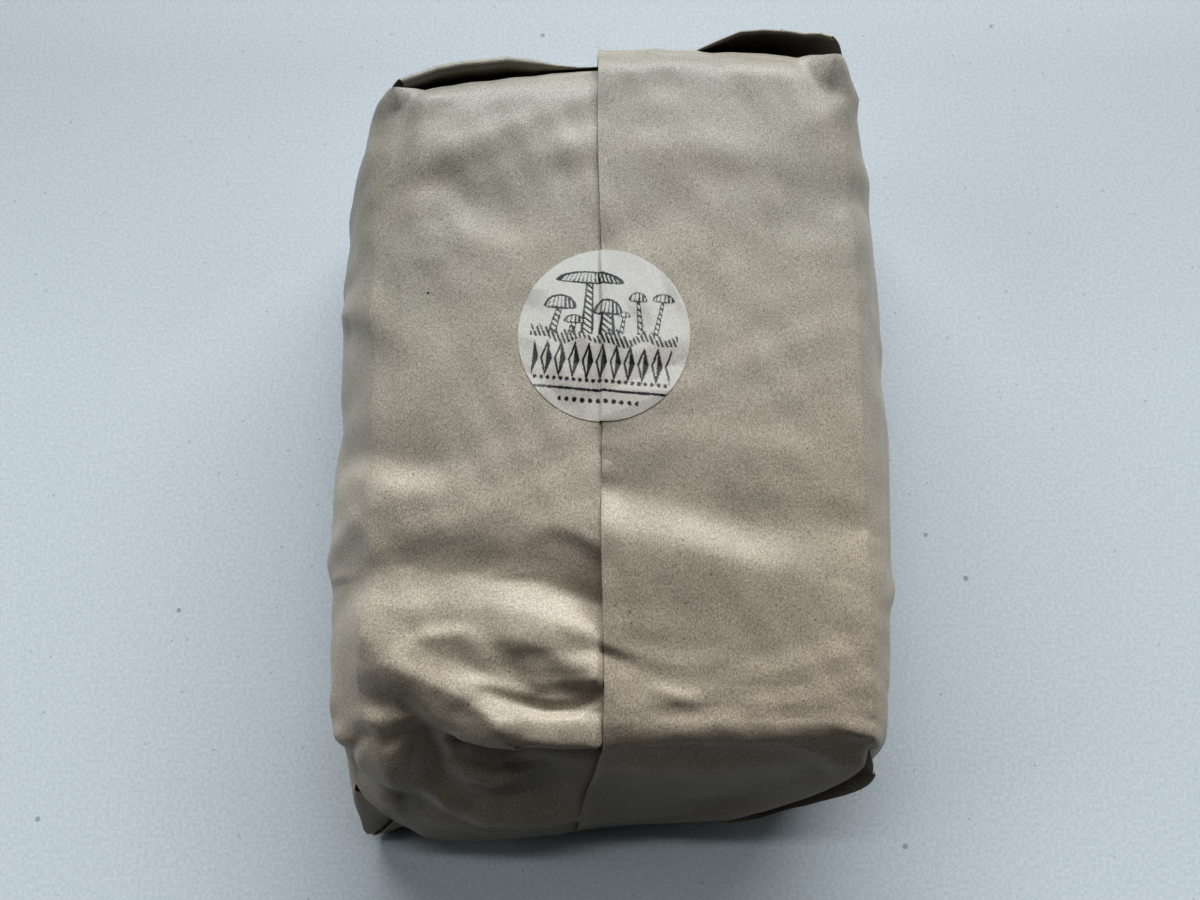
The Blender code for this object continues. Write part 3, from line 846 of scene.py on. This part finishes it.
def emblem(u, v):
    """Ink on the label, from 0 to 1: a cluster of mushrooms on grassy ground over a row of
    dots, a band of lozenges, a thin rule and a second row of dots.  All of it is plain ornament.
    """
    ink = np.zeros_like(u)
    for foot, head, widths, middle, half, rise in MUSHROOMS:
        edge, place = stalk(u, v, foot, head, widths)
        body = edge < 1.0
        line = (edge > 0.62) | (np.sin(v * 95.0 + u * 60.0) > 0.55 - 0.5 * place)
        ink = np.where(body, line * 1.0, ink)
        inside = dome(u, v, middle, half, rise)
        x = (u - middle[0]) / half
        shade = np.sin((x * 2.2 + x * (v - middle[1]) * 5.0) * 9.0 * half / 0.16)
        under = v < middle[1]
        line = (inside > 0.72) | (shade > 0.75 - 0.9 * (x > 0.15)) | under
        ink = np.where(inside < 1.0, line * 1.0, ink)
    ground = -0.05 + 0.02 * np.sin(u * 17.0) + 0.05 * u**2
    tuft = 0.10 * np.abs(np.sin(u * 31.0)) * np.abs(np.sin(u * 7.0 + 1.0))
    hatch = np.sin(u * 120.0 + v * 60.0) > -0.1
    soil = (v < ground + tuft) & (v > ground - 0.07 - 0.03 * np.sin(u * 9.0)) & (np.abs(u) < 0.86)
    ink = np.where(soil & hatch, 1.0, ink)
    x = np.mod(u / LOZENGE_PITCH + 0.5, 1.0) - 0.5
    y = (v + 0.33) / 0.30
    lozenge = np.abs(x) * 1.7 + np.abs(y)
    band = np.abs(u) < BAND_REACH
    row = band & (lozenge < 0.72) & ((lozenge > 0.46) | (x > 0.0))
    rule = band & (np.abs(v + 0.655) < 0.014)
    upper = dots_row(u, v, 0.075, -0.55, 0.023, 0.79)
    lower = dots_row(u, v, 0.09, -0.775, 0.027, 0.46)
    return np.where(row | rule | upper | lower, 1.0, ink)


def round_label():
    """A disc of film as rings times spokes, laid on the paper."""
    rings = np.linspace(0.0, 1.0, LABEL_RINGS)[:, None]
    angle = np.linspace(0.0, 2.0 * np.pi, LABEL_SPOKES)[None, :]
    u, v = rings * np.cos(angle), rings * np.sin(angle)
    s = LABEL_MIDDLE[0] + LABEL_RADII[0] * u
    t = LABEL_MIDDLE[1] + LABEL_RADII[1] * v
    sharp, lift = over_seam(s, t)
    grids = Grids()
    grids.add(skin(sharp, lift + LABEL_GAP + LABEL_FILM))
    return thickened("round_label_film", grids.mesh("label_disc"), LABEL_FILM)


def mark_ink(piece):
    """Write the emblem's ink on to the label's points, read from where they lie."""
    count = len(piece.data.vertices)
    places = np.empty(count * 3)
    piece.data.vertices.foreach_get("co", places)
    places = places.reshape(-1, 3) / MM - SHIFT
    middle = skin(ordered(*LABEL_MIDDLE, THICKNESS), 0.0)
    turn = np.radians(LABEL_TURN)
    x, y = places[:, 0] - middle[0], places[:, 1] - middle[1]
    u = (x * np.cos(turn) + y * np.sin(turn)) / (LABEL_RADII[0] * squeeze(1.0))
    v = (y * np.cos(turn) - x * np.sin(turn)) / LABEL_RADII[1]
    ink = piece.data.attributes.new("ink", "FLOAT", "POINT")
    ink.data.foreach_set("value", emblem(u, v).astype(np.float32))


# --- materials -----------------------------------------------------------------------------------


def new_material(name):
    """A material with its Principled shader, its node tree and its Object coordinates."""
    material = bpy.data.materials.new(name)
    material.use_nodes = True
    tree = material.node_tree
    shader = tree.nodes["Principled BSDF"]
    place = tree.nodes.new("ShaderNodeTexCoord").outputs["Object"]
    return material, tree, shader, place


def noise(tree, place, scale, detail=2.0, stretch=(1.0, 1.0, 1.0), roughness=0.6):
    """Noise of features about 1/scale metres across, stretched along the axes."""
    mapping = tree.nodes.new("ShaderNodeMapping")
    mapping.inputs["Scale"].default_value = stretch
    tree.links.new(place, mapping.inputs["Vector"])
    node = tree.nodes.new("ShaderNodeTexNoise")
    node.inputs["Scale"].default_value = scale
    node.inputs["Detail"].default_value = detail
    node.inputs["Roughness"].default_value = roughness
    tree.links.new(mapping.outputs["Vector"], node.inputs["Vector"])
    return node.outputs["Fac"]


def ramp(tree, source, stops):
    """A colour ramp; stops are (place, colour)."""
    node = tree.nodes.new("ShaderNodeValToRGB")
    bar = node.color_ramp
    while len(bar.elements) < len(stops):
        bar.elements.new(0.5)
    for element, (position, colour) in zip(bar.elements, stops):
        element.position = position
        element.color = (*colour, 1.0)
    tree.links.new(source, node.inputs["Fac"])
    return node.outputs["Color"]


def blend_colours(tree, how, amount, first, second):
    """Two colours mixed; amount is a number or a socket, and so are the colours."""
    node = tree.nodes.new("ShaderNodeMix")
    node.data_type = "RGBA"
    node.blend_type = how
    for place, value in ((0, amount), (6, first), (7, second)):
        socket = node.inputs[place]
        if isinstance(value, float):
            socket.default_value = value
        elif isinstance(value, tuple):
            socket.default_value = (*value, 1.0)
        else:
            tree.links.new(value, socket)
    return node.outputs[2]


def maths(tree, how, first, second):
    """A socket joined with a number or with another socket."""
    node = tree.nodes.new("ShaderNodeMath")
    node.operation = how
    tree.links.new(first, node.inputs[0])
    if isinstance(second, float):
        node.inputs[1].default_value = second
    else:
        tree.links.new(second, node.inputs[1])
    return node.outputs[0]


def specks(tree, place, scale, size, rare):
    """Small scattered dots: 1 inside a cell's middle, for the rare cells only."""
    cells = tree.nodes.new("ShaderNodeTexVoronoi")
    cells.inputs["Scale"].default_value = scale
    tree.links.new(place, cells.inputs["Vector"])
    split = tree.nodes.new("ShaderNodeSeparateColor")
    tree.links.new(cells.outputs["Color"], split.inputs["Color"])
    close = maths(tree, "LESS_THAN", cells.outputs["Distance"], size)
    chosen = maths(tree, "LESS_THAN", split.outputs[0], rare)
    return maths(tree, "MULTIPLY", close, chosen)


def bump(tree, shader, height, distance, strength):
    """Relief too fine for the mesh, its height in metres."""
    node = tree.nodes.new("ShaderNodeBump")
    node.inputs["Distance"].default_value = distance
    node.inputs["Strength"].default_value = strength
    tree.links.new(height, node.inputs["Height"])
    tree.links.new(node.outputs["Normal"], shader.inputs["Normal"])


def along(tree, place, way, start, stops):
    """A colour ramp read along a direction: place . way + start."""
    split = tree.nodes.new("ShaderNodeVectorMath")
    split.operation = "DOT_PRODUCT"
    split.inputs[1].default_value = way
    tree.links.new(place, split.inputs[0])
    return ramp(tree, maths(tree, "ADD", split.outputs["Value"], start), stops)


# Unbleached paper: its pulp from dark to pale, broad clouding, and painted shade and tints of light
# along the sheet: darker and warmer at its near right end, darker and cooler towards its far left end.
PULP_TONES = [
    (0.28, (0.315, 0.277, 0.222)), (0.50, (0.455, 0.41, 0.335)), (0.72, (0.595, 0.545, 0.47)),
]
CLOUD_TONES = [(0.35, (0.93, 0.925, 0.91)), (0.65, (1.03, 1.0, 0.985))]
SHEET_PAINTED_SHADE = [
    (0.0, (0.86, 0.80, 0.79)), (0.25, (1.02, 0.985, 0.985)), (0.5, (1.0, 0.995, 1.03)),
    (0.75, (0.85, 0.865, 0.90)), (1.0, (0.68, 0.71, 0.75)),
]
FLECK_BROWN = (0.20, 0.165, 0.13)
SPECK_BLACK = (0.05, 0.045, 0.04)


def kraft_colour(tree, place):
    """Unbleached paper: warm grey brown, mottled by its pulp, with brown flecks and dark specks, and
    painted shade that darkens it towards its near and far ends.
    """
    pulp = ramp(tree, noise(tree, place, 2000.0, 1.0, (1.0, 0.7, 1.0), 0.8), PULP_TONES)
    cloud = ramp(tree, noise(tree, place, 22.0), CLOUD_TONES)
    # Painted shade: darker and warmer at the near end, darker and cooler towards the far end.
    tone = along(tree, place, (-1.0, 3.0, 0.0), 0.5, SHEET_PAINTED_SHADE)
    colour = blend_colours(tree, "MULTIPLY", 1.0, pulp, cloud)
    colour = blend_colours(tree, "MULTIPLY", 1.0, colour, tone)
    fleck = specks(tree, place, 230.0, 0.075, 0.30)
    colour = blend_colours(tree, "MIX", fleck, colour, FLECK_BROWN)
    speck = specks(tree, place, 75.0, 0.036, 0.12)
    return blend_colours(tree, "MIX", speck, colour, SPECK_BLACK)


def kraft_material():
    """Smooth machine-glazed kraft: a dull gloss, faint fuzz and a pulp grain in its bump."""
    material, tree, shader, place = new_material("kraft_paper")
    tree.links.new(kraft_colour(tree, place), shader.inputs["Base Color"])
    shader.inputs["Roughness"].default_value = 0.44
    shader.inputs["Specular IOR Level"].default_value = 0.5
    shader.inputs["Sheen Weight"].default_value = 0.08
    bump(tree, shader, noise(tree, place, 260.0, 5.0, (1.0, 0.8, 1.0), 0.62), 0.00022, 0.55)
    return material


# The label's film: its own grey haze, paled further towards its far edge by a painted sheen, and how its
# ink has worn.
FILM_HAZE_AND_PAINTED_SHEEN = [(0.0, (0.34, 0.34, 0.34)), (1.0, (0.66, 0.66, 0.66))]
WORN_TONES = [(0.26, (0.8, 0.8, 0.8)), (0.36, (1.0, 1.0, 1.0))]
FILM_GREY = (0.74, 0.74, 0.73)
INK_BLACK = (0.012, 0.012, 0.015)


def label_material():
    """Hazy film on the paper: paler and greyer than it, glossy, with a painted sheen that pales it towards
    its far edge, and dark, slightly worn ink.
    """
    material, tree, shader, place = new_material("label_film")
    # Painted sheen: the film is mixed further towards pale grey towards its far edge.
    pale = along(tree, place, (-1.0, 14.0, 0.0), -0.20, FILM_HAZE_AND_PAINTED_SHEEN)
    film = blend_colours(tree, "MIX", pale, kraft_colour(tree, place), FILM_GREY)
    ink = tree.nodes.new("ShaderNodeAttribute")
    ink.attribute_name = "ink"
    worn = ramp(tree, noise(tree, place, 1500.0), WORN_TONES)
    amount = tree.nodes.new("ShaderNodeRGBToBW")
    printed = blend_colours(tree, "MULTIPLY", 1.0, ink.outputs["Color"], worn)
    tree.links.new(printed, amount.inputs[0])
    colour = blend_colours(tree, "MIX", amount.outputs[0], film, INK_BLACK)
    tree.links.new(colour, shader.inputs["Base Color"])
    shader.inputs["Roughness"].default_value = 0.27
    shader.inputs["Specular IOR Level"].default_value = 0.75
    bump(tree, shader, noise(tree, place, 420.0), 0.00003, 0.5)
    return material


def mottled_material(name, colour, roughness, scale, dark):
    """A finish for what the paper hides: its colour, mottled down to `dark` of itself."""
    material, tree, shader, place = new_material(name)
    shade = tuple(channel * dark for channel in colour)
    mottle = ramp(tree, noise(tree, place, scale, 4.0), [(0.35, shade), (0.65, colour)])
    tree.links.new(mottle, shader.inputs["Base Color"])
    shader.inputs["Roughness"].default_value = roughness
    return material


# --- room: floor, lights, camera -------------------------------------------------------------------

# Floor: half its side in metres, its grain, painted shade that darkens it far off, and its specks,
# each with the cells to a metre, the size in a cell, the share of cells and the colour.
FLOOR_HALF = 3.0
FLOOR_TONES = [(0.35, (0.70, 0.74, 0.765)), (0.65, (0.80, 0.84, 0.865))]
FLOOR_PAINTED_SHADE = [(0.0, (0.96, 0.97, 0.99)), (0.6, (0.89, 0.90, 0.925)), (1.0, (0.70, 0.71, 0.735))]
FLOOR_SPECKS = [(60.0, 0.07, 0.14, (0.46, 0.50, 0.53)), (140.0, 0.09, 0.3, (0.60, 0.64, 0.67))]


def stage_floor():
    """A plain pale floor under the parcel, with two sizes of faint specks, and painted shade that makes it
    darker far off.
    """
    data = bpy.data.meshes.new("floor")
    corners = [(-1.0, -1.0), (1.0, -1.0), (1.0, 1.0), (-1.0, 1.0)]
    corners = [(x * FLOOR_HALF, y * FLOOR_HALF, 0.0) for x, y in corners]
    data.from_pydata(corners, [], [(0, 1, 2, 3)])
    floor = bpy.data.objects.new("floor", data)
    bpy.context.scene.collection.objects.link(floor)
    material, tree, shader, place = new_material("floor")
    tone = ramp(tree, noise(tree, place, 700.0), FLOOR_TONES)
    for scale, size, rare, colour in FLOOR_SPECKS:
        tone = blend_colours(tree, "MIX", specks(tree, place, scale, size, rare), tone, colour)
    # Painted shade: the floor is darkened towards the far side.
    distance = along(tree, place, (0.0, 2.6, 0.0), 0.5, FLOOR_PAINTED_SHADE)
    tone = blend_colours(tree, "MULTIPLY", 1.0, tone, distance)
    tree.links.new(tone, shader.inputs["Base Color"])
    shader.inputs["Roughness"].default_value = 0.45
    data.materials.append(material)


# Soft light from a broad window past the far end, with a narrow strip above it and a weaker
# light on each side: place, size in metres, power and colour.
LIGHT_TARGET = Vector((0.0, 0.0, 0.04))
LIGHTS = {
    "window": ((0.35, 4.70, 2.74), (8.2, 1.7), 368.0, (0.95, 0.985, 1.0)),
    "strip": ((0.0, 2.30, 4.93), (5.3, 0.40), 44.0, (0.95, 0.985, 1.0)),
    "left": ((-4.9, 0.7, 2.5), (2.9, 1.9), 38.0, (0.93, 1.0, 1.0)),
    "right": ((4.9, 1.8, 2.5), (2.9, 1.9), 26.0, (0.93, 1.0, 1.0)),
}


def add_light(name, place, size, power, colour):
    """A soft rectangular light aimed at the parcel's middle."""
    lamp = bpy.data.lights.new(name, "AREA")
    lamp.shape = "RECTANGLE"
    lamp.size, lamp.size_y = size
    lamp.energy = power
    lamp.color = colour
    holder = bpy.data.objects.new(name, lamp)
    holder.location = place
    holder.rotation_euler = (LIGHT_TARGET - holder.location).to_track_quat("-Z", "Y").to_euler()
    bpy.context.scene.collection.objects.link(holder)


def add_room():
    """The room past the floor: pale where it is seen, and all but unlit."""
    world = bpy.data.worlds.new("room")
    world.use_nodes = True
    tree = world.node_tree
    dim = tree.nodes["Background"]
    dim.inputs["Color"].default_value = (0.85, 0.93, 1.0, 1.0)
    dim.inputs["Strength"].default_value = 0.004
    pale = tree.nodes.new("ShaderNodeBackground")
    pale.inputs["Color"].default_value = (0.52, 0.59, 0.64, 1.0)
    seen = tree.nodes.new("ShaderNodeLightPath")
    mixer = tree.nodes.new("ShaderNodeMixShader")
    tree.links.new(seen.outputs["Is Camera Ray"], mixer.inputs["Fac"])
    tree.links.new(dim.outputs["Background"], mixer.inputs[1])
    tree.links.new(pale.outputs["Background"], mixer.inputs[2])
    tree.links.new(mixer.outputs["Shader"], tree.nodes["World Output"].inputs["Surface"])
    bpy.context.scene.world = world


# Camera: degrees above the floor, metres from its target, the target in the parcel's own
# millimetres, and the lens in millimetres.
CAMERA_ELEVATION = 78.0
CAMERA_DISTANCE = 0.350
CAMERA_TARGET = (-4.8, -3.0, 44.0)
FOCAL_LENGTH, SENSOR_WIDTH = 27.06, 36.0


def add_camera():
    """Camera above the near end, looking steeply down."""
    elevation = np.radians(CAMERA_ELEVATION)
    target = Vector(SHIFT + np.array(CAMERA_TARGET)) * MM
    back = Vector((0.0, -np.cos(elevation), np.sin(elevation)))
    lens = bpy.data.cameras.new("camera")
    lens.lens = FOCAL_LENGTH
    lens.sensor_width = SENSOR_WIDTH
    lens.clip_start = 0.01
    holder = bpy.data.objects.new("camera", lens)
    holder.location = target + back * CAMERA_DISTANCE
    holder.rotation_euler = (np.radians(90.0) - elevation, 0.0, 0.0)
    bpy.context.scene.collection.objects.link(holder)
    bpy.context.scene.camera = holder


# --- putting it together --------------------------------------------------------------------------

add_camera()

sheet = thickened("kraft_sheet", paper_surface(), PAPER)
sheet.data.materials.append(kraft_material())
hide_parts("kraft_wrap")
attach(sheet, "root")

label = round_label()
mark_ink(label)
label.data.materials.append(label_material())
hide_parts("round_label")
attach(label, "root")

# Name, node that it stands for, slot, inset below the paper, and look.
FILLINGS = [
    ("bag_film", "grow_bag", "bag_film", 2.4, ((0.86, 0.88, 0.88), 0.25, 60.0, 0.9)),
    ("grain_block", "substrate_block", "substrate", 4.0, ((0.62, 0.50, 0.36), 0.9, 140.0, 0.55)),
]
for name, node, slot_name, inset, look in FILLINGS:
    piece = filling(name, inset)
    piece.data.materials.append(mottled_material(name, *look))
    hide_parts(node)
    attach(piece, "root")

NODE_LOOKS = {
    "filter_patch": mottled_material("filter_membrane", (0.90, 0.90, 0.88), 0.8, 900.0, 0.9),
    "neck_tape": mottled_material("tape_film", (0.80, 0.78, 0.70), 0.3, 400.0, 0.9),
}
for name, look in NODE_LOOKS.items():
    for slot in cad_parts[name].material_slots:
        slot.material = look

stage_floor()
for name, light in LIGHTS.items():
    add_light(name, *light)
add_room()
bpy.context.scene.view_settings.view_transform = "Standard"
bpy.context.scene.view_settings.look = "High Contrast"
